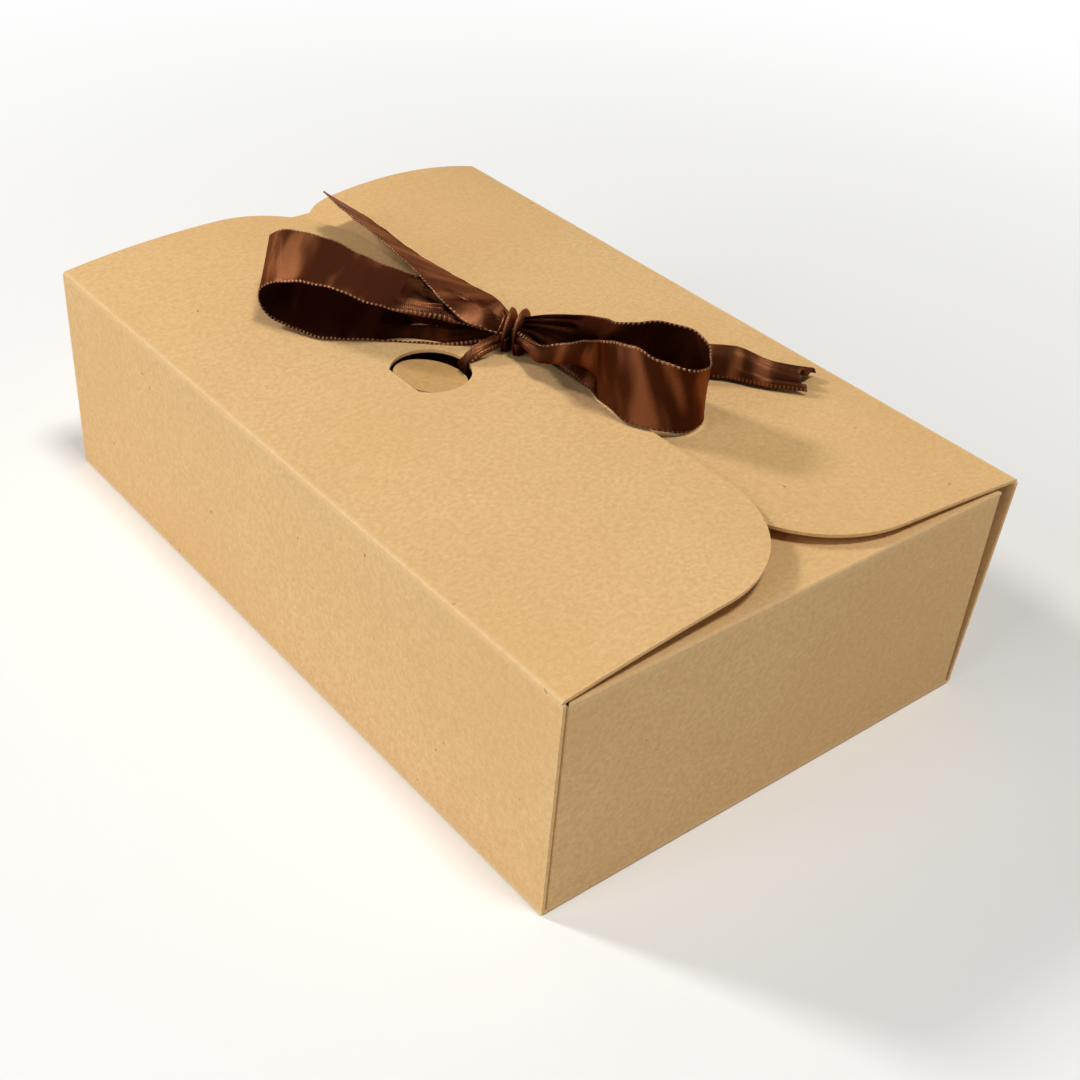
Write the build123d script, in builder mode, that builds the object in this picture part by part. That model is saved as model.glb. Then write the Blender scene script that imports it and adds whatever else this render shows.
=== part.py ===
"""Folding gift box of kraft card, held shut by a satin ribbon tied in a bow.

One die-cut sheet makes the box: a base, four walls folded up from it, two lids
folded in from the long walls and a dust flap folded in from each end wall.
Every crease parts two panels, so each panel is a piece of its own.
Length runs along Y with the front end at -Y, width along X, height along Z.
"""
import os
from math import cos, radians, sin

from build123d import *

# card and box
CARD = 0.6                  # thickness of the kraft card
BOX_LENGTH = 150.0
BASE_WIDTH = 95.4
BOX_HEIGHT = 43.0           # table to the top of the lids' creases
SIDE_LEAN = 3.0             # how far the right wall's top stands out past its foot
FOLD_GAP = 0.4              # room between a folded-in panel and the wall beside it
FLAP_GAP = 0.3              # room between a dust flap and the lids over it
FOLD_ROUND = 0.45           # outer rounding of the creases

# lids
SEAM_X = 2.75               # middle of the overlap, right of the box's middle
LID_OVERLAP = 4.1           # how far the left lid lies over the right one
LEFT_LID_RISE = 2.4         # the card springs up towards its free edge
RIGHT_LID_RISE = 1.0
LEFT_LID_BOW = 1.0          # bow from crease to free edge where the ribbon holds it down
RIGHT_LID_BOW = 0.6
LEFT_LID_FRONT_BOW = 0.7    # bow at the lids' front and rear ends, which are free
LEFT_LID_REAR_BOW = 1.8
RIGHT_LID_FRONT_BOW = 0.3
RIGHT_LID_REAR_BOW = 3.0
LID_END_GAP = 0.3           # lid ends are cut back from the box ends
LID_END_TAPER = 2.4         # and taper in towards the free edge
LID_CORNER = 22.0           # rounding of the lids' free corners
RIGHT_LID_REAR_CORNER = 9.0

# punched holes that the ribbon goes through, each with its disc still hinged on
HOLE_RADIUS = 7.25
HOLE_X = 14.5               # each hole's distance from the box's middle
LEFT_HOLE_Y = 3.2
RIGHT_HOLE_Y = 0.0
DISC_GAP = 0.6              # cut between the disc and its hole
DISC_BRIDGE = 5.8           # hole centre to the uncut bridge that the disc hinges on
DISC_TURN = 0.0             # direction from bridge to open side, from +X
DISC_DIP = 9.0              # how far the ribbon has pushed the disc down, degrees

# dust flaps and side tabs
FLAP_REACH = 36.0
FLAP_CORNER = 8.0
FLAP_DROOP = 3.0            # how far a folded-in dust flap hangs below level, degrees
TAB_REACH = 20.0
TAB_FOOT = 1.0              # tab's lower end above the base
TAB_HEAD = 1.4              # tab's upper end below the end wall's crease

# satin ribbon and bow
RIBBON = 0.5                # thickness
RIBBON_WIDTH = 15.0
BOW_GAP = 0.8               # ribbon's height over the lid it lies on
KNOT_X = 2.0
KNOT_Y = 1.6
KNOT_LENGTH = 6.4
KNOT_DEPTH = 7.4
KNOT_HEIGHT = 8.0
KNOT_ROUND = 2.4
BOW_START = 4.4             # knot centre to where the loops leave it
GATHER = 3.8                # ribbon's width where the knot gathers it
GATHER_REACH = 14.0         # knot centre to where the ribbon is full width again
LEFT_LOOP_LENGTH = 44.0
LEFT_LOOP_HEIGHT = 11.0
LEFT_LOOP_TURN = 121.0      # direction from the knot, from +X
RIGHT_LOOP_LENGTH = 38.0
RIGHT_LOOP_SPREAD = 13.0    # across the loop, seen from above
RIGHT_LOOP_HEIGHT = 13.0
RIGHT_LOOP_TURN = -67.0
TAIL_START = 6.5            # knot centre to where a tail leaves it
LONG_TAIL_LENGTH = 59.0
LONG_TAIL_TURN = 86.0
LONG_TAIL_TILT = 37.0       # lean of the ribbon's face from flat, right edge down
SHORT_TAIL_LENGTH = 53.0
SHORT_TAIL_TURN = -43.0
SHORT_TAIL_TILT = -18.0
SHORT_TAIL_SWING = 6.0      # how far it swings out round the right loop
LEAD_WIDTH = 5.0            # the ribbon is gathered where it goes through a hole
LEAD_THICK = 0.6
LEAD_GAP = 0.2              # between the gathered ribbon and the card

os.makedirs("parts", exist_ok=True)

# levels and edges that follow from the sizes above
HALF_LENGTH = BOX_LENGTH / 2
LEFT_X = -(BASE_WIDTH + SIDE_LEAN) / 2
BASE_RIGHT_X = LEFT_X + BASE_WIDTH
RIGHT_X = BASE_RIGHT_X + SIDE_LEAN
CREASE_Z = BOX_HEIGHT - CARD
END_LEFT_X = LEFT_X + CARD + FOLD_GAP
END_RIGHT_X = BASE_RIGHT_X - CARD - FOLD_GAP
END_WIDTH = END_RIGHT_X - END_LEFT_X
END_MID_X = (END_LEFT_X + END_RIGHT_X) / 2
END_CREASE_Z = CREASE_Z - CARD - FLAP_GAP
LEFT_LID_REACH = RIGHT_X + SEAM_X + LID_OVERLAP / 2
RIGHT_LID_REACH = RIGHT_X - SEAM_X + LID_OVERLAP / 2
HOLE_FROM_CREASE = RIGHT_X - HOLE_X
LID_HALF_LENGTH = HALF_LENGTH - LID_END_GAP


def finish(piece, label):
    """Label a finished piece and write it to its own file."""
    piece.part.label = label
    export_step(piece.part, f"parts/{label}.step")


# --- base -------------------------------------------------------------------
with BuildPart() as base_panel:
    with BuildSketch(Plane.XY):
        with Locations((LEFT_X + BASE_WIDTH / 2, 0)):
            Rectangle(BASE_WIDTH, BOX_LENGTH)
    extrude(amount=CARD)
    fillet(base_panel.faces().sort_by(Axis.Z)[0].edges(), FOLD_ROUND)
finish(base_panel, "base_panel")

# --- long walls: the left one upright, the right one leaning out a little -----
with BuildPart() as left_wall:
    with BuildSketch(Plane.XZ):
        with BuildLine():
            Polyline(
                (LEFT_X, CARD),
                (LEFT_X + CARD, CARD),
                (LEFT_X + CARD, CREASE_Z),
                (LEFT_X, CREASE_Z),
                close=True,
            )
        make_face()
    extrude(amount=HALF_LENGTH, both=True)
finish(left_wall, "left_wall")

with BuildPart() as right_wall:
    with BuildSketch(Plane.XZ):
        with BuildLine():
            Polyline(
                (BASE_RIGHT_X, CARD),
                (BASE_RIGHT_X - CARD, CARD),
                (RIGHT_X - CARD, CREASE_Z),
                (RIGHT_X, CREASE_Z),
                close=True,
            )
        make_face()
    extrude(amount=HALF_LENGTH, both=True)
finish(right_wall, "right_wall")

# --- end walls, their side tabs and dust flaps ---------------------------------
# side is -1 at the front end and +1 at the rear end
for end, side in (("front", -1), ("rear", 1)):
    outer_y = side * HALF_LENGTH
    inner_y = outer_y - side * CARD

    with BuildPart() as end_wall:
        with BuildSketch(Plane.XY.offset(CARD)):
            with Locations((END_MID_X, (outer_y + inner_y) / 2)):
                Rectangle(END_WIDTH, CARD)
        extrude(amount=END_CREASE_Z - CARD)
        outer_face = end_wall.faces().sort_by(Axis.Y)[0 if side < 0 else -1]
        fillet(outer_face.edges().filter_by(Axis.Z), FOLD_ROUND)
    finish(end_wall, f"{end}_end_wall")

    # a tab folded back along each long wall; its foot is cut at 45 degrees, so
    # that it clears the long wall as both fold down
    tab_foot_z = CARD + TAB_FOOT
    tab_head_z = END_CREASE_Z - TAB_HEAD
    tab_tip_y = inner_y - side * TAB_REACH
    for hand, tab_x in (("left", END_LEFT_X), ("right", END_RIGHT_X - CARD)):
        with BuildPart() as side_tab:
            with BuildSketch(Plane.YZ.offset(tab_x)):
                with BuildLine():
                    Polyline(
                        (inner_y, tab_foot_z),
                        (tab_tip_y, tab_foot_z + TAB_REACH),
                        (tab_tip_y, tab_head_z - TAB_REACH / 3),
                        (inner_y, tab_head_z),
                        close=True,
                    )
                make_face()
            extrude(amount=CARD)
        finish(side_tab, f"{end}_{hand}_tab")

    # the dust flap tapers at 45 degrees, so that the lids always clear it, and
    # hangs from the end wall's inner upper edge; its sketch starts at that edge
    flap_plane = Plane(
        origin=(0, inner_y, END_CREASE_Z),
        x_dir=(1, 0, 0),
        z_dir=(0, -side * sin(radians(FLAP_DROOP)), cos(radians(FLAP_DROOP))),
    )
    flap_crease_y = side * CARD
    flap_tip_y = flap_crease_y - side * FLAP_REACH
    with BuildPart() as dust_flap:
        with BuildSketch(flap_plane):
            with BuildLine():
                Polyline(
                    (END_LEFT_X, flap_crease_y),
                    (END_RIGHT_X, flap_crease_y),
                    (END_RIGHT_X - FLAP_REACH, flap_tip_y),
                    (END_LEFT_X + FLAP_REACH, flap_tip_y),
                    close=True,
                )
            flap_face = make_face()
            flap_tip = flap_face.vertices().sort_by(Axis.Y)
            fillet(flap_tip[-2:] if side < 0 else flap_tip[:2], FLAP_CORNER)
        extrude(amount=CARD)
        flap_top = dust_flap.faces().sort_by(Axis(flap_plane.origin, flap_plane.z_dir))[-1]
        flap_crease = flap_top.edges().filter_by(Axis.X).sort_by(Axis.Y)
        fillet(flap_crease[0 if side < 0 else -1], FOLD_ROUND)
    finish(dust_flap, f"{end}_dust_flap")

# --- lids ---------------------------------------------------------------------
# hand is -1 for the left lid, which lies on top, and +1 for the right lid
LIDS = (
    ("left", -1, LEFT_LID_REACH, LEFT_LID_RISE, LEFT_LID_BOW, LEFT_HOLE_Y),
    ("right", 1, RIGHT_LID_REACH, RIGHT_LID_RISE, RIGHT_LID_BOW, RIGHT_HOLE_Y),
)
# bows at the front and rear ends, then the rounding of the front and rear corners
LID_ENDS = {
    "left": (LEFT_LID_FRONT_BOW, LEFT_LID_REAR_BOW, LID_CORNER, LID_CORNER),
    "right": (RIGHT_LID_FRONT_BOW, RIGHT_LID_REAR_BOW, LID_CORNER, RIGHT_LID_REAR_CORNER),
}


def lid_lift(distance, reach, rise, bow):
    """Height of a lid's underside over its crease, at a distance from the crease,
    where the ribbon holds it down."""
    share = distance / reach
    return rise * share + 4 * bow * share * (1 - share)


for name, hand, reach, rise, bow, hole_y in LIDS:
    crease_x = hand * RIGHT_X
    free_x = crease_x - hand * reach
    middle_x = (crease_x + free_x) / 2
    hole_x = hand * HOLE_X
    front_bow, rear_bow, front_corner, rear_corner = LID_ENDS[name]

    # the disc's bridge is the chord across the hole on the side away from DISC_TURN
    turn = DISC_TURN if hand < 0 else 180 - DISC_TURN
    bridge = Plane(
        origin=(hole_x, hole_y, 0),
        x_dir=(cos(radians(turn)), sin(radians(turn)), 0),
        z_dir=(0, 0, 1),
    )

    with BuildPart() as lid:
        # cross-sections at the front end, the middle and the rear end
        for section_y, section_bow in (
            (-LID_HALF_LENGTH, front_bow),
            (0, bow),
            (LID_HALF_LENGTH, rear_bow),
        ):
            with BuildSketch(Plane.XZ.offset(-section_y)):
                with BuildLine():
                    under = ThreePointArc(
                        (crease_x, CREASE_Z),
                        (middle_x, CREASE_Z + rise / 2 + section_bow),
                        (free_x, CREASE_Z + rise),
                    )
                    over = ThreePointArc(
                        (crease_x, CREASE_Z + CARD),
                        (middle_x, CREASE_Z + CARD + rise / 2 + section_bow),
                        (free_x, CREASE_Z + CARD + rise),
                    )
                    Line(under @ 0, over @ 0)
                    Line(under @ 1, over @ 1)
                make_face()
        loft()
        crease_side = lid.faces().sort_by(Axis.X)[0 if hand < 0 else -1]
        fillet(crease_side.edges().sort_by(Axis.Z)[-1], FOLD_ROUND)
        with BuildSketch(Plane.XY):
            with BuildLine():
                Polyline(
                    (crease_x, -LID_HALF_LENGTH),
                    (free_x, -LID_HALF_LENGTH + LID_END_TAPER),
                    (free_x, LID_HALF_LENGTH - LID_END_TAPER),
                    (crease_x, LID_HALF_LENGTH),
                    close=True,
                )
            make_face()
            for corner, rounding in ((0, front_corner), (-1, rear_corner)):
                free_ends = vertices().group_by(Axis.X)[-1 if hand < 0 else 0]
                fillet(free_ends.sort_by(Axis.Y)[corner], rounding)
        extrude(amount=BOX_HEIGHT * 2, mode=Mode.INTERSECT)
        with BuildSketch(bridge):
            Circle(HOLE_RADIUS)
            with Locations((-DISC_BRIDGE - HOLE_RADIUS, 0)):
                Rectangle(2 * HOLE_RADIUS, 2 * HOLE_RADIUS, mode=Mode.SUBTRACT)
        extrude(amount=BOX_HEIGHT * 2, mode=Mode.SUBTRACT)
    finish(lid, f"{name}_lid")

    # the punched disc hangs from the bridge's lower edge, pushed down a little
    bridge_x = hole_x - DISC_BRIDGE * cos(radians(turn))
    bridge_z = CREASE_Z + lid_lift(abs(crease_x - bridge_x), reach, rise, bow)
    dip_cos = cos(radians(DISC_DIP))
    dip_sin = sin(radians(DISC_DIP))
    dipped = Plane(
        origin=bridge.origin - bridge.x_dir * DISC_BRIDGE + Vector(0, 0, bridge_z),
        x_dir=bridge.x_dir * dip_cos - Vector(0, 0, dip_sin),
        z_dir=bridge.x_dir * dip_sin + Vector(0, 0, dip_cos),
    )
    with BuildPart() as disc:
        with BuildSketch(dipped):
            with Locations((DISC_BRIDGE, 0)):
                Circle(HOLE_RADIUS - DISC_GAP)
            with Locations((-HOLE_RADIUS, 0)):
                Rectangle(2 * HOLE_RADIUS, 2 * HOLE_RADIUS, mode=Mode.SUBTRACT)
        extrude(amount=CARD)
    finish(disc, f"{name}_hole_disc")

# --- bow knot --------------------------------------------------------------------
BOW_Z = CREASE_Z + LEFT_LID_RISE + CARD
LEFT_LOOP_DIR = Vector(cos(radians(LEFT_LOOP_TURN)), sin(radians(LEFT_LOOP_TURN)), 0)
knot_centre = Vector(KNOT_X, KNOT_Y, BOW_Z + BOW_GAP / 2 + KNOT_HEIGHT / 2)

with BuildPart() as bow_knot:
    with BuildSketch(Plane(origin=knot_centre, x_dir=LEFT_LOOP_DIR, z_dir=(0, 0, 1))):
        RectangleRounded(KNOT_LENGTH, KNOT_DEPTH, KNOT_ROUND)
    extrude(amount=KNOT_HEIGHT / 2, both=True)
    fillet(bow_knot.faces().sort_by(Axis.Z)[0].edges(), KNOT_ROUND)
    fillet(bow_knot.faces().sort_by(Axis.Z)[-1].edges(), KNOT_ROUND)
finish(bow_knot, "bow_knot")


# --- bow loops: ribbon out from the knot, round, and back to it --------------------
LOOP_Z = BOW_Z + BOW_GAP
left_loop_plane = Plane(
    origin=(KNOT_X, KNOT_Y, LOOP_Z + RIBBON / 2),
    x_dir=LEFT_LOOP_DIR,
    z_dir=LEFT_LOOP_DIR.cross(Vector(0, 0, 1)),
)
left_loop_top = Plane(origin=(KNOT_X, KNOT_Y, LOOP_Z), x_dir=LEFT_LOOP_DIR, z_dir=(0, 0, 1))
with BuildPart() as left_loop:
    # seen along the ribbon's width: the lower strand lies on the lid
    with BuildSketch(left_loop_plane):
        with BuildLine():
            FilletPolyline(
                (BOW_START, KNOT_HEIGHT * 0.3),
                (GATHER_REACH, 0),
                (LEFT_LOOP_LENGTH, 0),
                (LEFT_LOOP_LENGTH, LEFT_LOOP_HEIGHT),
                (LEFT_LOOP_LENGTH * 0.5, LEFT_LOOP_HEIGHT * 0.95),
                (BOW_START, KNOT_HEIGHT * 0.65),
                radius=[GATHER_REACH, LEFT_LOOP_HEIGHT * 0.48, LEFT_LOOP_HEIGHT * 0.48, GATHER_REACH],
            )
        trace(line_width=RIBBON)
    extrude(amount=RIBBON_WIDTH / 2, both=True)
    # from above, the knot gathers the ribbon
    with BuildSketch(left_loop_top):
        with BuildLine():
            Polyline(
                (BOW_START, -GATHER / 2),
                (GATHER_REACH, -RIBBON_WIDTH / 2),
                (LEFT_LOOP_LENGTH + RIBBON, -RIBBON_WIDTH / 2),
                (LEFT_LOOP_LENGTH + RIBBON, RIBBON_WIDTH / 2),
                (GATHER_REACH, RIBBON_WIDTH / 2),
                (BOW_START, GATHER / 2),
                close=True,
            )
        make_face()
    extrude(amount=LEFT_LOOP_HEIGHT * 2, mode=Mode.INTERSECT)
finish(left_loop, "left_loop")

RIGHT_LOOP_DIR = Vector(cos(radians(RIGHT_LOOP_TURN)), sin(radians(RIGHT_LOOP_TURN)), 0)
right_loop_plane = Plane(
    origin=(KNOT_X, KNOT_Y, LOOP_Z),
    x_dir=RIGHT_LOOP_DIR,
    z_dir=(0, 0, 1),
)
right_loop_side = Plane(
    origin=(KNOT_X, KNOT_Y, LOOP_Z),
    x_dir=RIGHT_LOOP_DIR,
    z_dir=RIGHT_LOOP_DIR.cross(Vector(0, 0, 1)),
)
with BuildPart() as right_loop:
    # seen from above: this loop has turned over and stands on its edge
    with BuildSketch(right_loop_plane):
        with BuildLine():
            Spline(
                (BOW_START, -RIBBON * 2),
                (RIGHT_LOOP_LENGTH * 0.45, -RIGHT_LOOP_SPREAD * 0.55),
                (RIGHT_LOOP_LENGTH * 0.85, -RIGHT_LOOP_SPREAD * 0.5),
                (RIGHT_LOOP_LENGTH, 0),
                (RIGHT_LOOP_LENGTH * 0.8, RIGHT_LOOP_SPREAD * 0.45),
                (RIGHT_LOOP_LENGTH * 0.4, RIGHT_LOOP_SPREAD * 0.35),
                (BOW_START, RIBBON * 2),
            )
        trace(line_width=RIBBON)
    extrude(amount=RIGHT_LOOP_HEIGHT)
    # from the side, the knot gathers the ribbon
    with BuildSketch(right_loop_side):
        with BuildLine():
            Polyline(
                (BOW_START, (KNOT_HEIGHT - GATHER) / 2),
                (GATHER_REACH, 0),
                (RIGHT_LOOP_LENGTH + RIBBON, 0),
                (RIGHT_LOOP_LENGTH + RIBBON, RIGHT_LOOP_HEIGHT),
                (GATHER_REACH, RIGHT_LOOP_HEIGHT),
                (BOW_START, (KNOT_HEIGHT + GATHER) / 2),
                close=True,
            )
        make_face()
    extrude(amount=RIGHT_LOOP_SPREAD, both=True, mode=Mode.INTERSECT)
finish(right_loop, "right_loop")

# --- ribbon tails ---------------------------------------------------------------------
# each is a run of cross-sections, narrow at the knot and leaning once clear of it
TAILS = (
    ("long_tail", LONG_TAIL_TURN, LONG_TAIL_LENGTH, LONG_TAIL_TILT, 0.0),
    ("short_tail", SHORT_TAIL_TURN, SHORT_TAIL_LENGTH, SHORT_TAIL_TILT, SHORT_TAIL_SWING),
)
for name, turn, length, tilt, swing in TAILS:
    out = Vector(cos(radians(turn)), sin(radians(turn)), 0)
    across = out.cross(Vector(0, 0, 1))
    lean = across * cos(radians(tilt)) - Vector(0, 0, sin(radians(tilt)))
    edge_height = abs(sin(radians(tilt))) / 2
    with BuildPart() as tail:
        for distance, aside, width in (
            (TAIL_START, swing * 0.2, GATHER),
            (GATHER_REACH, swing * 0.9, GATHER),
            (GATHER_REACH * 2.3, swing * 0.7, RIBBON_WIDTH),
            (length, 0.0, RIBBON_WIDTH),
        ):
            middle = Vector(KNOT_X, KNOT_Y, LOOP_Z + RIBBON * 2) + out * distance - across * aside
            middle = middle + Vector(0, 0, width * edge_height)
            with BuildSketch(Plane(origin=middle, x_dir=lean, z_dir=out)):
                Rectangle(width, RIBBON)
        loft(ruled=True)
    finish(tail, name)

# --- ribbon through the holes, gathered narrow ------------------------------------------
# each lead goes from the knot down through its hole and back under the lid's edge
for name, hand, reach, rise, bow, hole_y in LIDS:
    rim_reach = (HOLE_RADIUS**2 - (LEAD_WIDTH / 2) ** 2) ** 0.5
    rim_distance = HOLE_FROM_CREASE + rim_reach
    drop_x = hand * (RIGHT_X - rim_distance + LEAD_GAP + LEAD_THICK / 2)
    under_z = CREASE_Z + min(lid_lift(rim_distance, reach, rise, bow), rise)
    over_z = CREASE_Z + CARD + lid_lift(rim_distance, reach, rise, bow)
    low_z = under_z - LEAD_GAP - LEAD_THICK / 2
    high_z = over_z + LEAD_GAP + LEAD_THICK / 2
    seam_x = SEAM_X - LID_OVERLAP / 2 + hand * LEAD_GAP
    knot_side_x = KNOT_X + hand * (KNOT_DEPTH / 2 + LEAD_THICK)
    with BuildPart() as lead:
        with BuildSketch(Plane.XZ.offset(-hole_y - LEAD_WIDTH / 2)):
            with BuildLine():
                FilletPolyline(
                    (knot_side_x, high_z + LEAD_THICK),
                    (drop_x, high_z),
                    (drop_x, low_z),
                    (seam_x, low_z),
                    radius=LEAD_THICK * 0.6,
                )
            trace(line_width=LEAD_THICK)
        extrude(amount=LEAD_WIDTH)
    finish(lead, f"{name}_lead")
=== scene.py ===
import math

import bmesh
import bpy
from mathutils import Matrix, Vector


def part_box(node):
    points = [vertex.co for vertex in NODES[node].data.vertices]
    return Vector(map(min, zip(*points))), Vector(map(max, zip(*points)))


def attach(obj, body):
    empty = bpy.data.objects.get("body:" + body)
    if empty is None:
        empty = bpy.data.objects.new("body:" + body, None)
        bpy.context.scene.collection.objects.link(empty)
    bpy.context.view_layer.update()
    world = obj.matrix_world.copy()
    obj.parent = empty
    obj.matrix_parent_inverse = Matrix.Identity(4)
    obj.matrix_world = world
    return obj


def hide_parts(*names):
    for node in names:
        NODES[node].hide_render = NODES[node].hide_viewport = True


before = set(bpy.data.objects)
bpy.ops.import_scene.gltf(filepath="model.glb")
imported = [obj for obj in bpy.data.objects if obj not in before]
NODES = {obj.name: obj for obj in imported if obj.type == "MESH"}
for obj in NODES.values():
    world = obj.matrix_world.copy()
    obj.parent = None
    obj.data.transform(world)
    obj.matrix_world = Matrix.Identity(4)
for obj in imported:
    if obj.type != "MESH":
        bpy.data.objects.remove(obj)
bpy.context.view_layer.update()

# --- camera ---------------------------------------------------------------------------
# The photograph is taken close by, from over the box's front left corner, with the
# camera rolled a little and its frame cut off centre.
CAMERA_AT = (-0.1603, -0.1910, 0.1845)
CAMERA_HEADING = math.radians(-40.3)
CAMERA_DOWN = math.radians(37.9)
CAMERA_ROLL = math.radians(3.9)

camera_data = bpy.data.cameras.new("camera")
camera_data.sensor_width = 36.0
camera_data.lens = 53.02
camera_data.shift_x = 0.0387
camera_data.shift_y = 0.0564
camera_data.clip_start = 0.01
camera = bpy.data.objects.new("camera", camera_data)
camera.matrix_world = (
    Matrix.Translation(CAMERA_AT)
    @ Matrix.Rotation(CAMERA_HEADING, 4, "Z")
    @ Matrix.Rotation(math.pi / 2 - CAMERA_DOWN, 4, "X")
    @ Matrix.Rotation(CAMERA_ROLL, 4, "Z")
)
bpy.context.scene.collection.objects.link(camera)
bpy.context.scene.camera = camera

# --- base panel -----------------------------------------------------------------------
# The box is cut and creased from one sheet of uncoated kraft card. Its base lies flat
# on the table and carries the four walls on their creases.
KRAFT = (0.760, 0.485, 0.222)
KRAFT_DARK = (0.600, 0.360, 0.150)
KRAFT_PALE = (0.880, 0.610, 0.315)
KRAFT_WARM = (0.740, 0.440, 0.175)
KRAFT_SPECK = (0.180, 0.085, 0.032)
KRAFT_WORN = (0.900, 0.665, 0.385)
CARD_THICKNESS = 0.0006
X, Y, Z = range(3)


class Shader:
    """A material's node tree with short ways to add and join nodes."""

    def __init__(self, name):
        self.material = bpy.data.materials.new(name)
        self.material.use_nodes = True
        self.tree = self.material.node_tree
        self.surface = self.tree.nodes["Principled BSDF"]

    def add(self, kind, **settings):
        node = self.tree.nodes.new(kind)
        for key, value in settings.items():
            setattr(node, key, value)
        return node

    def join(self, value, socket):
        if isinstance(value, bpy.types.NodeSocket):
            self.tree.links.new(value, socket)
        else:
            socket.default_value = value

    def math(self, operation, first, second=0.0, clamp=False):
        node = self.add("ShaderNodeMath", operation=operation, use_clamp=clamp)
        self.join(first, node.inputs[0])
        self.join(second, node.inputs[1])
        return node.outputs[0]

    def ramp(self, value, low, high):
        """0 below low, 1 above high and smooth between them; low may be over high."""
        node = self.add("ShaderNodeMapRange", interpolation_type="SMOOTHSTEP")
        self.join(value, node.inputs["Value"])
        node.inputs["From Min"].default_value = low
        node.inputs["From Max"].default_value = high
        return node.outputs["Result"]

    def mix(self, share, first, second):
        node = self.add("ShaderNodeMix", data_type="RGBA")
        self.join(share, node.inputs[0])
        for colour, socket in ((first, node.inputs[6]), (second, node.inputs[7])):
            self.join((*colour, 1.0) if isinstance(colour, tuple) else colour, socket)
        return node.outputs[2]

    def cover(self, base, mask, share, colour):
        """The base colour, with a share of another laid over it where the mask is 1."""
        return self.mix(self.math("MULTIPLY", mask, share), base, colour)

    def tint(self, colour, tone):
        node = self.add("ShaderNodeMix", data_type="RGBA", blend_type="MULTIPLY")
        node.inputs[0].default_value = 1.0
        self.join(colour, node.inputs[6])
        self.join((*tone, 1.0), node.inputs[7])
        return node.outputs[2]

    def noise(self, place, scale, detail=2.0, roughness=0.5, stretch=(1, 1, 1), turn=0.0):
        mapping = self.add("ShaderNodeMapping")
        self.join(place, mapping.inputs["Vector"])
        mapping.inputs["Rotation"].default_value = (0, 0, turn)
        mapping.inputs["Scale"].default_value = stretch
        node = self.add("ShaderNodeTexNoise")
        self.join(mapping.outputs[0], node.inputs["Vector"])
        node.inputs["Scale"].default_value = scale
        node.inputs["Detail"].default_value = detail
        node.inputs["Roughness"].default_value = roughness
        return node.outputs["Fac"]

    def bump(self, height, distance, strength=1.0, under=None):
        node = self.add("ShaderNodeBump")
        node.inputs["Strength"].default_value = strength
        node.inputs["Distance"].default_value = distance
        self.join(height, node.inputs["Height"])
        if under is not None:
            self.join(under, node.inputs["Normal"])
        return node.outputs["Normal"]


def kraft_card(name, creases=(), tone=(1.0, 1.0, 1.0)):
    """Kraft card with its fibres and flecks. creases are (axis, place, width): the
    card is worn pale within width of that plane across the axis. tone tints it all."""
    shader = Shader(name)
    place = shader.add("ShaderNodeTexCoord").outputs["Object"]
    clouds = shader.noise(place, 34, detail=3)
    mottle = shader.noise(place, 1150, detail=4, roughness=0.58)
    fine = shader.noise(place, 2600, detail=2, roughness=0.6)
    colour = shader.mix(shader.ramp(mottle, 0.30, 0.70), KRAFT_DARK, KRAFT_PALE)
    colour = shader.mix(0.66, colour, KRAFT)
    colour = shader.cover(colour, shader.ramp(clouds, 0.35, 0.7), 0.16, KRAFT_DARK)
    patches = shader.noise(place, 13, detail=2)
    colour = shader.cover(colour, shader.ramp(patches, 0.40, 0.66), 0.30, KRAFT_WARM)
    # short fibres lie every way in the sheet, some paler and some darker than it
    for turn, tint, share in (
        (0.4, KRAFT_PALE, 0.30),
        (1.9, KRAFT_DARK, 0.34),
        (2.9, KRAFT_PALE, 0.26),
        (1.1, KRAFT_DARK, 0.30),
    ):
        fibre = shader.noise(place, 1900, detail=1, stretch=(0.45, 1.4, 1), turn=turn)
        colour = shader.cover(colour, shader.ramp(fibre, 0.62, 0.74), share, tint)
    fleck = shader.noise(place, 640, detail=1)
    colour = shader.cover(colour, shader.ramp(fleck, 0.785, 0.83), 0.7, KRAFT_SPECK)
    split = shader.add("ShaderNodeSeparateXYZ")
    shader.join(place, split.inputs[0])
    for axis, at, width in creases:
        away = shader.math("ABSOLUTE", shader.math("SUBTRACT", split.outputs[axis], at))
        rough = shader.math("MULTIPLY", shader.math("SUBTRACT", mottle, 0.5), width * 1.2)
        worn = shader.ramp(shader.math("ADD", away, rough), width, width * 0.15)
        colour = shader.cover(colour, worn, 0.24, KRAFT_WORN)
    shader.join(shader.tint(colour, tone), shader.surface.inputs["Base Color"])
    shader.surface.inputs["Roughness"].default_value = 0.86
    shader.surface.inputs["Specular IOR Level"].default_value = 0.28
    grain = shader.math("ADD", shader.math("MULTIPLY", fine, 0.5), mottle)
    rough_face = shader.bump(grain, 0.00006, 0.42)
    slow = shader.noise(place, 55, detail=2)
    shader.join(shader.bump(slow, 0.0008, 0.35, under=rough_face), shader.surface.inputs["Normal"])
    return shader.material


def dress(node, material):
    """Gives a CAD panel its card in place of the colour it came with."""
    piece = NODES[node]
    piece.data.materials.clear()
    piece.data.materials.append(material)


LEFT_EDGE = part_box("left_wall")[0][X]
RIGHT_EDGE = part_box("right_wall")[1][X]
FRONT_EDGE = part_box("base_panel")[0][Y]
REAR_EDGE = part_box("base_panel")[1][Y]
LID_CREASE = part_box("left_wall")[1][Z]
base_creases = [(X, LEFT_EDGE, 0.0009), (Y, FRONT_EDGE, 0.0009), (Y, REAR_EDGE, 0.0009)]
dress("base_panel", kraft_card("card_base", base_creases))

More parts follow.
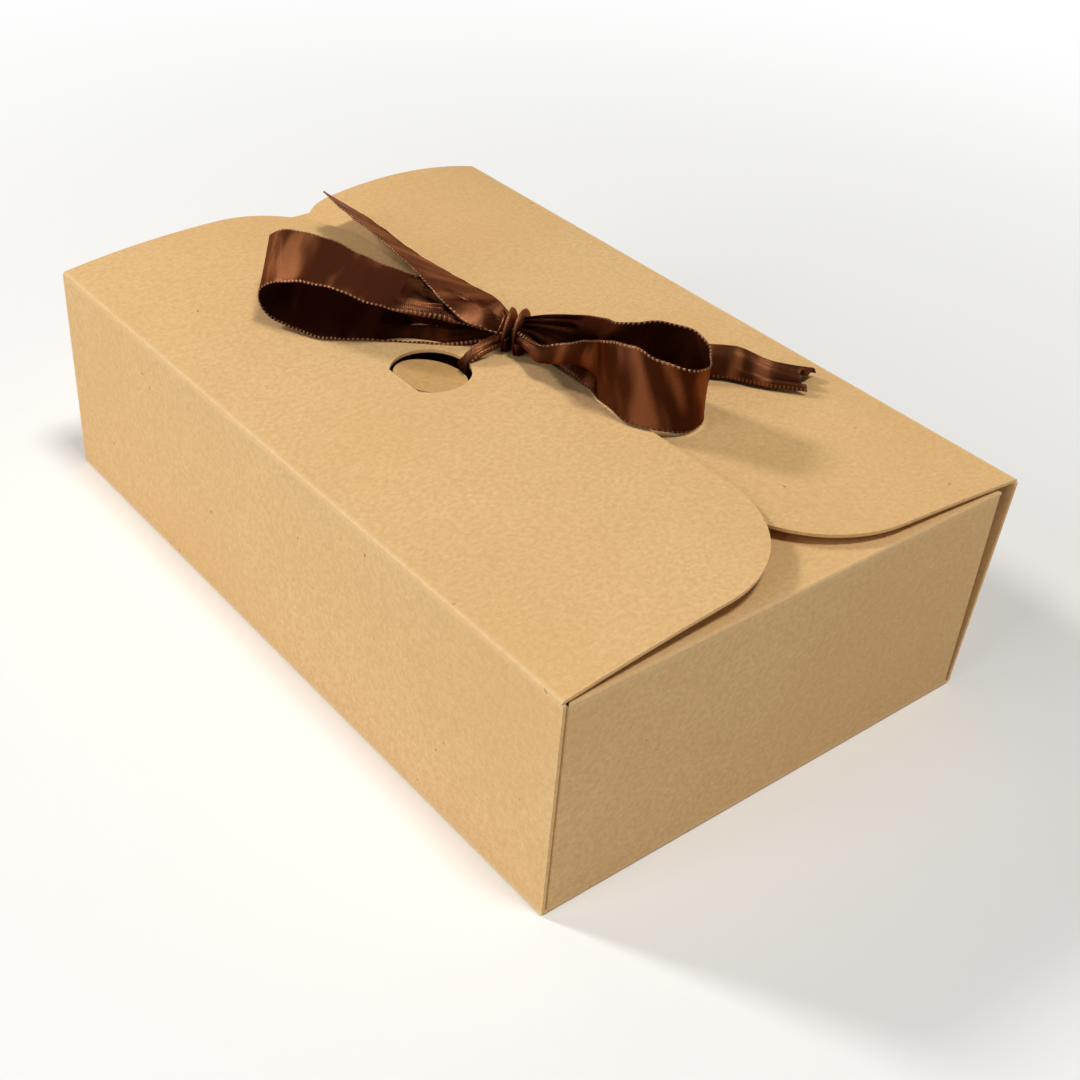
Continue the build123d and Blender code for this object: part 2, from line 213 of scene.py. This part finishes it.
# --- long walls -----------------------------------------------------------------------
# The two long walls stand up from the base and carry the lids on their upper creases.
# The right one leans out, so that its inner face shows beside the end wall.
wall_creases = [(Z, LID_CREASE, 0.0010), (Z, CARD_THICKNESS, 0.0008)]
dress("left_wall", kraft_card("card_left_wall", wall_creases))
dress("right_wall", kraft_card("card_right_wall", wall_creases))

# --- end walls and side tabs ----------------------------------------------------------
# The end walls stand between the long walls. A tab at each side is folded back inside
# the long wall and keeps the end wall upright.
END_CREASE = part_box("front_end_wall")[1][Z]
ENDS = (("front", FRONT_EDGE), ("rear", REAR_EDGE))
end_creases = [(Z, END_CREASE, 0.0009), (Z, CARD_THICKNESS, 0.0008)]
for end, edge in ENDS:
    dress(f"{end}_end_wall", kraft_card(f"card_{end}_wall", end_creases))
    for hand in ("left", "right"):
        dress(f"{end}_{hand}_tab", kraft_card(f"card_{end}_{hand}_tab", [(Y, edge, 0.0014)]))

# --- dust flaps -----------------------------------------------------------------------
# A dust flap is folded in from the top of each end wall. It lies under the lids and
# hangs a little lower at its free edge than at its crease.
for end, edge in ENDS:
    dress(f"{end}_dust_flap", kraft_card(f"card_{end}_flap", [(Y, edge, 0.0010)]))

# --- lids and their punched discs -----------------------------------------------------
# Each lid is folded in from a long wall, the left one over the right one. The ribbon's
# hole in each is a punched disc that still hangs from a short bridge of card.
# The discs' card is tinted darker, a painted shade for each disc where it dips below its lid
DISC_PAINTED_SHADE = (0.84, 0.78, 0.66)
for hand, edge in (("left", LEFT_EDGE), ("right", RIGHT_EDGE)):
    dress(f"{hand}_lid", kraft_card(f"card_{hand}_lid", [(X, edge, 0.0011)]))
    dress(f"{hand}_hole_disc", kraft_card(f"card_{hand}_disc", tone=DISC_PAINTED_SHADE))

# --- ribbon: the left loop ------------------------------------------------------------
# One length of 15 mm satin ribbon, woven with a stitched picot edge, is tied in the bow.
# Its left loop lies on the lid, turns over at its end and comes back above itself.
RIBBON_WIDTH = 0.015
RIBBON_THICKNESS = 0.00022
RIBBON_STEP = 0.0002
PICOT_PITCH = 0.00082
PICOT_OUT = 0.00007
PICOT_UP = 0.00008
PICOT_NEXT = 0.00005  # how far the row beside the edge goes up with it
WEFT_PITCH = 0.00038
WARP_PITCH = 0.00050
PLEAT_DRIFT = 0.04  # the length over which the pleats drift once through their wave
EDGE_CROWDING = 0.027  # how much closer the mesh's rows lie near the ribbon's edges
NOTCH_REACH = 0.006
CREASE_PITCH = 0.0053
WIDE_CREASE_PITCH = 0.0083
NEARLY_FLAT = 0.94  # a chord over this share of the ribbon's width has no pleats
GATHERED = 0.30  # under this share all pleats are tight, and over twice it all are loose
PLEAT_STEPS = 24
ACROSS = 22
# SATIN is the face's colour in its painted highlight bands, and SATIN_DEEP its ground between them
SATIN = (0.420, 0.160, 0.070)
SATIN_DEEP = (0.028, 0.0064, 0.0019)
SATIN_DULL = (0.080, 0.021, 0.0062)
SATIN_DARK = (0.018, 0.0040, 0.0012)
SATIN_STITCH = (0.400, 0.210, 0.115)
MM = 0.001


def smooth_run(points, per_piece):
    """Points on a smooth curve through the given ones, with per_piece[i] steps in piece i."""
    ends = [points[0] * 2 - points[1], *points, points[-1] * 2 - points[-2]]
    run = []
    for i, steps in enumerate(per_piece):
        before, a, b, after = ends[i : i + 4]
        for k in range(steps):
            t = k / steps
            run.append(
                a
                + (b - before) * (t / 2)
                + (before * 2 - a * 5 + b * 4 - after) * (t * t / 2)
                + (a * 3 - before - b * 3 + after) * (t * t * t / 2)
            )
    run.append(points[-1])
    return run


def pleat_wave(v, pleats, tight_pleats, openness, phase):
    """The pleats' cross-section: many close to a knot, fewer where the ribbon opens out."""
    inside = min(1.0, 4 * v * (1 - v))
    tight = math.sin(2 * math.pi * tight_pleats * v + 1.3 * phase * inside)
    loose = math.sin(2 * math.pi * pleats * v + phase * inside)
    return tight * (1 - openness) + loose * openness


def gathered_depth(chord, pleats, tight_pleats, openness):
    """How deep the pleats are where the ribbon is gathered into the chord. A chord
    only a little short of the ribbon's width leaves it flat."""
    width = RIBBON_WIDTH * NEARLY_FLAT
    if chord >= width:
        return 0.0
    low, high = 0.0, width
    for _ in range(14):
        depth = (low + high) / 2
        length = 0.0
        last = None
        for j in range(PLEAT_STEPS + 1):
            v = j / PLEAT_STEPS
            here = (v * chord, depth * pleat_wave(v, pleats, tight_pleats, openness, 0.0))
            if last:
                length += math.dist(last, here)
            last = here
        if length < width:
            low = depth
        else:
            high = depth
    return low


def satin_ribbon(name, painted_highlight_colour, deep, sheen):
    """Dark satin: long floats that shine across the ribbon, and stitches along its edges.
    sheen is 1 on the satin's face and lower on its duller back."""
    shader = Shader(name)
    uv = shader.add("ShaderNodeTexCoord").outputs["UV"]
    split = shader.add("ShaderNodeSeparateXYZ")
    shader.join(uv, split.inputs[0])
    along, across = split.outputs[0], split.outputs[1]
    painted_streaks = shader.noise(uv, 9, detail=4, stretch=(90, 6, 1))
    cloth = shader.noise(uv, 14, detail=3, stretch=(20, 20, 1))
    # painted highlight: in soft bands every few millimetres, broken into fine streaks, the satin
    # is coloured brighter
    painted_highlight_bands = shader.ramp(shader.noise(uv, 1, detail=2, stretch=(2.4, 0.6, 1)), 0.45, 0.66)
    lit = shader.math("ADD", shader.math("MULTIPLY", painted_highlight_bands, 0.85), 0.10)
    lit = shader.math("MULTIPLY", shader.ramp(painted_streaks, 0.30, 0.66), lit)
    colour = shader.mix(lit, deep, painted_highlight_colour)
    from_middle = shader.math("ABSOLUTE", shader.math("SUBTRACT", across, 0.5))
    edge = shader.ramp(from_middle, 0.460, 0.476)
    # along and across count in ribbon widths, and the pitches are in metres
    full_turn = 2 * math.pi * RIBBON_WIDTH
    stitches = shader.math("SINE", shader.math("MULTIPLY", along, full_turn / PICOT_PITCH))
    stitched = shader.math("MULTIPLY", edge, shader.ramp(stitches, -0.1, 0.6))
    colour = shader.cover(colour, stitched, 0.75, SATIN_STITCH)
    # the weave's humps, more than twice as fine as the stitches
    weft = shader.math("SINE", shader.math("MULTIPLY", along, full_turn / WEFT_PITCH))
    warp = shader.math("SINE", shader.math("MULTIPLY", across, full_turn / WARP_PITCH))
    weave = shader.math("MULTIPLY", weft, warp)
    # painted shade: the hollows between the weave's humps are coloured darker
    colour = shader.cover(colour, shader.ramp(weave, 0.1, -0.9), 0.45, deep)
    shader.join(colour, shader.surface.inputs["Base Color"])
    shader.surface.inputs["Metallic"].default_value = 0.90
    rough = shader.math("ADD", shader.math("MULTIPLY", cloth, 0.20), 0.46 - 0.22 * sheen)
    shader.join(rough, shader.surface.inputs["Roughness"])
    shader.surface.inputs["Specular IOR Level"].default_value = 0.5 * sheen
    shader.surface.inputs["Specular Tint"].default_value = (0.82, 0.45, 0.30, 1.0)
    shader.surface.inputs["Anisotropic"].default_value = 0.85
    shader.surface.inputs["Anisotropic Rotation"].default_value = 0.25
    tangent = shader.add("ShaderNodeTangent", direction_type="UV_MAP", uv_map="ribbon")
    shader.join(tangent.outputs[0], shader.surface.inputs["Tangent"])
    shader.join(shader.bump(weave, 0.00004, 0.7), shader.surface.inputs["Normal"])
    return shader.material


SATIN_FACE = satin_ribbon("satin_face", SATIN, SATIN_DEEP, 1.0)
# the back's colours are darker than the face's: partly the satin's duller back, partly painted
# shade for the loops' insides, which this side faces
SATIN_BACK = satin_ribbon("satin_back", SATIN_DULL, SATIN_DARK, 0.3)


def buckle(s, v):
    """The soft creases, up to 1 deep, that stand across a ribbon at s metres along it."""
    first = math.sin(2 * math.pi * s / CREASE_PITCH + 1.9 * v)
    second = math.sin(2 * math.pi * s / WIDE_CREASE_PITCH - 1.4 * v + 0.8)
    return 0.6 * first + 0.4 * second


def ribbon(
    name,
    body,
    stations,
    pleats=2.5,
    tight_pleats=3.5,
    drift=1.0,
    lean=0.0,
    notch=0.0,
    creased=0.12,
    cloth=9.0,
    sides=(SATIN_FACE, SATIN_FACE),
    nodes=(),
):
    """A length of ribbon through stations, each the places in mm of its two edges.
    Where the edges are nearer than the ribbon is wide, it is gathered in pleats, which
    drift over as they run along and lean towards the first edge. notch and creased are
    the depths in mm of the swallowtail cut at its end and of the soft creases across it.
    cloth is the place on the satin, in ribbon widths, where the length starts, and so where
    the painted highlight bands fall on it; sides are the materials of its two faces."""
    left = [Vector(a) * MM for a, b in stations]
    right = [Vector(b) * MM for a, b in stations]
    middle = [(a + b) / 2 for a, b in zip(left, right)]
    steps = [max(2, round((q - p).length / RIBBON_STEP)) for p, q in zip(middle, middle[1:])]
    left_run = smooth_run(left, steps)
    right_run = smooth_run(right, steps)
    middles = [(a + b) / 2 for a, b in zip(left_run, right_run)]
    travelled = [0.0]
    for p, q in zip(middles, middles[1:]):
        travelled.append(travelled[-1] + (q - p).length)
    length = travelled[-1]

    mesh = bmesh.new()
    uv_layer = mesh.loops.layers.uv.new("ribbon")
    rows = []
    last = len(middles) - 1
    for i, (a, b) in enumerate(zip(left_run, right_run)):
        along = (middles[min(i + 1, last)] - middles[max(i - 1, 0)]).normalized()
        chord = b - a
        face = along.cross(chord).normalized()
        share = chord.length / RIBBON_WIDTH
        openness = min(1.0, max(0.0, (share - GATHERED) / GATHERED))
        depth = gathered_depth(chord.length, pleats, tight_pleats, openness)
        phase = drift * 2 * math.pi * travelled[i] / PLEAT_DRIFT
        spread = min(1.0, share) ** 3
        picot = spread * math.cos(2 * math.pi * travelled[i] / PICOT_PITCH)
        row = []
        for j in range(ACROSS + 1):
            v = j / ACROSS
            v -= EDGE_CROWDING * math.sin(2 * math.pi * v)
            wave = pleat_wave(v, pleats, tight_pleats, openness, phase)
            aside = v - lean * openness * math.sin(math.pi * v)
            crease = creased * MM * openness * buckle(travelled[i], v)
            point = a + chord * aside + face * (depth * wave + crease)
            if notch and j not in (0, ACROSS):
                pull = max(0.0, 1 - (length - travelled[i]) / NOTCH_REACH)
                point -= along * (notch * MM * (1 - abs(2 * v - 1)) * pull)
            if j in (0, ACROSS):
                out = -1 if j == 0 else 1
                point += chord.normalized() * (out * PICOT_OUT * picot) + face * (PICOT_UP * picot)
            elif j in (1, ACROSS - 1):
                point += face * (PICOT_NEXT * picot)
            row.append(mesh.verts.new(point))
        rows.append(row)
    for i in range(last):
        for j in range(ACROSS):
            quad = mesh.faces.new((rows[i][j], rows[i][j + 1], rows[i + 1][j + 1], rows[i + 1][j]))
            quad.smooth = True
            corners = ((i, j), (i, j + 1), (i + 1, j + 1), (i + 1, j))
            for loop, (r, c) in zip(quad.loops, corners):
                loop[uv_layer].uv = (travelled[r] / RIBBON_WIDTH + cloth, c / ACROSS)
    data = bpy.data.meshes.new(name)
    mesh.to_mesh(data)
    mesh.free()
    for side in sides:
        data.materials.append(side)
    piece = bpy.data.objects.new(name, data)
    bpy.context.scene.collection.objects.link(piece)
    thick = piece.modifiers.new("thickness", "SOLIDIFY")
    thick.thickness = RIBBON_THICKNESS
    thick.offset = 0
    thick.material_offset = 1  # the far face takes the second of the sides
    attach(piece, body)
    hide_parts(*nodes)
    print(name, "length", round(length * 1000, 1), "mm")
    return piece, length


# each station is (edge nearer the front left, edge nearer the rear right), in mm
left_loop, left_loop_length = ribbon(
    "ribbon_left_loop",
    "left_lid",
    [
        ((0.6, 2.6, 47.4), (3.0, 4.8, 48.4)),
        ((-2.4, 5.2, 47.0), (0.4, 8.2, 47.6)),
        ((-6.0, 7.8, 46.3), (-1.8, 12.4, 46.8)),
        ((-9.0, 10.2, 46.0), (-3.4, 16.4, 46.3)),
        ((-13.2, 13.8, 45.9), (-4.6, 22.6, 47.4)),
        ((-20.2, 18.9, 45.9), (-9.0, 28.6, 48.4)),
        ((-24.5, 22.4, 45.8), (-13.6, 32.8, 49.4)),
        ((-26.7, 26.5, 46.0), (-16.2, 37.4, 50.2)),
        ((-28.6, 31.0, 46.5), (-18.6, 41.9, 51.4)),
        ((-29.9, 33.4, 48.0), (-20.3, 44.6, 53.2)),
        ((-30.3, 34.0, 50.0), (-21.1, 44.9, 55.4)),
        ((-30.2, 32.8, 52.8), (-20.9, 42.8, 57.2)),
        ((-29.3, 29.4, 55.0), (-19.2, 40.0, 58.2)),
        ((-27.6, 25.3, 56.3), (-17.0, 35.9, 58.3)),
        ((-25.4, 22.2, 56.5), (-14.2, 32.3, 57.5)),
        ((-22.9, 19.1, 56.0), (-11.7, 28.7, 56.0)),
        ((-20.0, 16.0, 54.6), (-8.6, 25.6, 54.5)),
        ((-15.0, 13.9, 52.4), (-4.0, 22.3, 52.5)),
        ((-9.9, 12.0, 50.6), (-0.6, 18.5, 50.4)),
        ((-4.2, 8.4, 49.2), (1.2, 12.6, 49.3)),
        ((-1.2, 4.8, 48.9), (2.4, 7.6, 49.4)),
        ((1.0, 2.4, 49.0), (3.6, 4.2, 50.2)),
    ],
    pleats=1.5,
    cloth=4.0,
    sides=(SATIN_BACK, SATIN_FACE),
    nodes=["left_loop"],
)

# --- ribbon: the right loop -----------------------------------------------------------
# The right loop has turned over on its way out, so that it stands on one edge, with its
# face to the front and the dark inside showing from above.
right_loop, right_loop_length = ribbon(
    "ribbon_right_loop",
    "left_lid",
    [
        ((0.8, 0.6, 50.4), (2.4, 1.2, 48.2)),
        ((0.2, -4.2, 50.6), (3.2, -3.0, 47.0)),
        ((-0.6, -9.0, 52.0), (4.4, -6.5, 46.3)),
        ((0.6, -14.2, 54.6), (4.6, -10.4, 46.1)),
        ((0.8, -19.6, 57.5), (4.2, -15.5, 46.1)),
        ((-0.2, -24.0, 59.8), (3.3, -22.0, 46.0)),
        ((1.4, -26.2, 60.0), (2.4, -28.3, 46.0)),
        ((3.2, -28.6, 59.7), (3.9, -31.9, 46.0)),
        ((3.6, -31.4, 59.4), (6.6, -34.0, 45.3)),
        ((4.8, -34.0, 59.0), (9.4, -35.1, 44.6)),
        ((8.7, -37.2, 57.8), (14.2, -34.8, 44.4)),
        ((12.6, -36.4, 57.3), (17.5, -31.8, 44.4)),
        ((14.8, -34.2, 57.8), (18.8, -27.5, 44.5)),
        ((15.7, -32.2, 58.7), (18.6, -24.4, 45.0)),
        ((15.7, -29.2, 59.3), (17.4, -22.0, 46.2)),
        ((13.9, -26.1, 59.8), (15.4, -19.8, 46.6)),
        ((11.4, -24.1, 60.0), (12.8, -18.0, 47.0)),
        ((8.6, -21.8, 59.6), (10.2, -16.4, 47.4)),
        ((7.9, -18.6, 58.4), (7.6, -14.4, 47.7)),
        ((8.8, -14.6, 57.0), (5.6, -11.6, 48.0)),
        ((8.8, -8.6, 54.9), (4.4, -7.6, 48.5)),
        ((6.8, -2.8, 52.8), (3.4, -3.4, 49.0)),
        ((3.6, 1.0, 51.6), (2.6, 0.2, 49.2)),
    ],
    pleats=-1.0,
    drift=0.25,
    creased=0.17,
    sides=(SATIN_FACE, SATIN_BACK),
    nodes=["right_loop"],
)

# --- ribbon: the two tails ------------------------------------------------------------
# The long tail runs back along the seam on its lower edge, half turned. The short tail
# goes out to the right under the right loop and ends in a small swallowtail cut.
long_tail, long_tail_length = ribbon(
    "ribbon_long_tail",
    "left_lid",
    [
        ((0.2, 1.6, 49.2), (3.4, 2.6, 50.2)),
        ((-2.6, 3.6, 49.9), (4.9, 6.4, 50.0)),
        ((-4.8, 6.8, 50.6), (6.8, 10.2, 49.0)),
        ((-5.4, 12.9, 52.2), (8.2, 14.6, 48.3)),
        ((-3.9, 22.7, 53.2), (9.2, 22.8, 46.9)),
        ((-3.2, 30.8, 53.8), (9.5, 31.2, 46.2)),
        ((-2.9, 38.2, 54.5), (9.4, 38.7, 45.9)),
        ((-2.6, 45.2, 54.6), (9.5, 46.0, 46.0)),
        ((-1.8, 52.4, 54.6), (10.0, 53.0, 46.1)),
        ((-0.7, 58.4, 54.5), (10.6, 61.5, 45.8)),
    ],
    pleats=-1.0,
    drift=0.2,
    creased=0.06,
    nodes=["long_tail"],
)

short_tail, short_tail_length = ribbon(
    "ribbon_short_tail",
    "left_lid",
    [
        ((2.2, 0.4, 47.6), (4.2, 1.6, 48.0)),
        ((5.2, -4.0, 46.6), (8.2, -1.6, 46.6)),
        ((9.6, -9.2, 45.6), (13.8, -4.6, 45.4)),
        ((14.4, -14.4, 45.0), (20.0, -7.6, 44.8)),
        ((21.2, -19.6, 44.6), (27.0, -12.4, 44.5)),
        ((28.7, -25.2, 44.4), (34.1, -17.9, 44.2)),
        ((32.9, -31.0, 44.3), (39.0, -25.6, 44.1)),
        ((38.4, -36.8, 44.2), (45.0, -32.8, 44.0)),
    ],
    pleats=0.5,
    drift=0.0,
    creased=0.05,
    lean=0.28,
    notch=2.6,
    nodes=["short_tail"],
)

# --- ribbon: the leads through the two holes ------------------------------------------
# Gathered narrow, the ribbon leaves the knot, goes over the rim of each hole and comes
# back under the card to the seam, which it holds shut.
left_lead, left_lead_length = ribbon(
    "ribbon_left_lead",
    "left_lid",
    [
        ((1.0, 1.0, 47.8), (1.4, 2.8, 48.6)),
        ((-1.8, 1.0, 47.9), (-1.2, 2.8, 48.1)),
        ((-4.4, 1.0, 47.6), (-4.2, 2.9, 47.6)),
        ((-6.2, 1.1, 47.0), (-6.1, 3.1, 47.0)),
        ((-7.6, 1.2, 45.6), (-7.6, 3.6, 45.6)),
        ((-7.3, 1.0, 44.0), (-7.3, 4.8, 44.0)),
        ((-4.5, 0.8, 43.6), (-4.5, 5.4, 43.6)),
        ((0.2, 0.7, 43.5), (0.2, 5.7, 43.5)),
    ],
    pleats=2.0,
    drift=3.0,
    nodes=["left_lead"],
)

right_lead, right_lead_length = ribbon(
    "ribbon_right_lead",
    "right_lid",
    [
        ((5.6, -2.2, 45.2), (5.6, 2.2, 45.2)),
        ((7.2, -2.3, 45.0), (7.2, 2.3, 45.0)),
        ((8.2, -2.3, 43.8), (8.2, 2.3, 43.8)),
        ((7.2, -2.4, 42.6), (7.2, 2.4, 42.6)),
        ((4.5, -2.5, 42.4), (4.5, 2.5, 42.4)),
        ((1.2, -2.5, 42.3), (1.2, 2.5, 42.3)),
    ],
    pleats=3.5,
    drift=0.4,
    nodes=["right_lead"],
)

# --- ribbon: the knot -----------------------------------------------------------------
# The knot is the same ribbon, crumpled narrow and wrapped round the loops where they
# cross. Its wraps run over the top from front to back.
KNOT_AT = Vector((2.5, 1.6, 49.0))
KNOT_AXIS = Vector((0.52, -0.85, 0.0))
KNOT_ACROSS = Vector((0.85, 0.52, 0.0))
KNOT_WRAPS = 1.3
KNOT_START = 0.55
KNOT_HALF_WIDE = 2.2
KNOT_HALF_HIGH = 2.5
KNOT_ADVANCE = 1.2
KNOT_STEPS = 18
UP = Vector((0, 0, 1))
knot_turns = []
for k in range(KNOT_STEPS + 1):
    angle = 2 * math.pi * (KNOT_WRAPS * k / KNOT_STEPS - KNOT_START)
    wide = KNOT_ACROSS * (KNOT_HALF_WIDE * math.sin(angle))
    ring = wide + UP * (KNOT_HALF_HIGH * math.cos(angle))
    centre = KNOT_AT + ring + KNOT_AXIS * (KNOT_ADVANCE * (k / KNOT_STEPS - 0.5))
    half = (KNOT_AXIS + UP * (0.22 * math.sin(angle))) * (2.0 + 0.3 * math.sin(2 * angle))
    knot_turns.append((centre - half, centre + half))
bow_knot, bow_knot_length = ribbon(
    "ribbon_knot",
    "left_lid",
    knot_turns,
    pleats=2.0,
    tight_pleats=2.0,
    drift=0.5,
    nodes=["bow_knot"],
)

# --- floor and light ------------------------------------------------------------------
# A plain white table under soft light from above and from behind, with a weaker light
# from the left. A little way off, the table passes into the white of the room.


def seen_rays(tree):
    """1 for the rays that show the room itself: straight, in gloss and through glass."""
    rays = tree.nodes.new("ShaderNodeLightPath")
    seen = rays.outputs["Is Camera Ray"]
    for kind in ("Is Glossy Ray", "Is Transmission Ray"):
        either = tree.nodes.new("ShaderNodeMath")
        either.operation = "MAXIMUM"
        tree.links.new(seen, either.inputs[0])
        tree.links.new(rays.outputs[kind], either.inputs[1])
        seen = either.outputs[0]
    return seen


floor_data = bpy.data.meshes.new("floor")
FLOOR_HALF = 3
FLOOR_GAP = 0.00005
corners = [(-1, -1), (1, -1), (1, 1), (-1, 1)]
floor_data.from_pydata(
    [(FLOOR_HALF * x, FLOOR_HALF * y, 0) for x, y in corners], [], [(0, 1, 2, 3)]
)
floor = bpy.data.objects.new("floor", floor_data)
floor.location.z = -FLOOR_GAP
bpy.context.scene.collection.objects.link(floor)
paper = Shader("white_table")
paper.surface.inputs["Base Color"].default_value = (0.94, 0.955, 0.98, 1.0)
paper.surface.inputs["Roughness"].default_value = 0.9
paper.surface.inputs["Specular IOR Level"].default_value = 0.1
place = paper.add("ShaderNodeTexCoord").outputs["Object"]
away = paper.add("ShaderNodeVectorMath", operation="LENGTH")
paper.join(place, away.inputs[0])
far = paper.ramp(away.outputs["Value"], 0.12, 0.40)
room_white = paper.add("ShaderNodeEmission")
table = paper.add("ShaderNodeMixShader")
paper.join(paper.math("MULTIPLY", far, seen_rays(paper.tree)), table.inputs[0])
paper.join(paper.surface.outputs[0], table.inputs[1])
paper.join(room_white.outputs[0], table.inputs[2])
paper.join(table.outputs[0], paper.tree.nodes["Material Output"].inputs["Surface"])
floor_data.materials.append(paper.material)


def soft_lamp(name, at, aim, size, power, colour):
    lamp_data = bpy.data.lights.new(name, "AREA")
    lamp_data.shape = "DISK"
    lamp_data.size = size
    lamp_data.energy = power
    lamp_data.color = colour
    lamp = bpy.data.objects.new(name, lamp_data)
    lamp.location = at
    lamp.rotation_euler = (Vector(aim) - Vector(at)).to_track_quat("-Z", "Y").to_euler()
    bpy.context.scene.collection.objects.link(lamp)


soft_lamp("ceiling_lamp", (0.05, -0.45, 1.70), (0, 0, 0.03), 0.4, 14.8, (1.0, 0.96, 0.88))
soft_lamp("rear_lamp", (-0.75, 1.25, 1.05), (0, 0, 0.03), 0.3, 15.0, (1.0, 0.97, 0.91))
soft_lamp("left_lamp", (-0.85, -0.02, 0.45), (-0.04, 0, 0.02), 0.5, 2.4, (0.97, 0.98, 1.0))

world = bpy.data.worlds.new("room")
world.use_nodes = True
room = world.node_tree
sky = room.nodes["Background"]
sky.inputs["Color"].default_value = (0.94, 0.97, 1.0, 1.0)
sky.inputs["Strength"].default_value = 0.12
white = room.nodes.new("ShaderNodeBackground")
white.inputs["Strength"].default_value = 1.0
choice = room.nodes.new("ShaderNodeMixShader")
room.links.new(seen_rays(room), choice.inputs[0])
room.links.new(sky.outputs[0], choice.inputs[1])
room.links.new(white.outputs[0], choice.inputs[2])
room.links.new(choice.outputs[0], room.nodes["World Output"].inputs["Surface"])
bpy.context.scene.world = world
bpy.context.scene.view_settings.view_transform = "Standard"
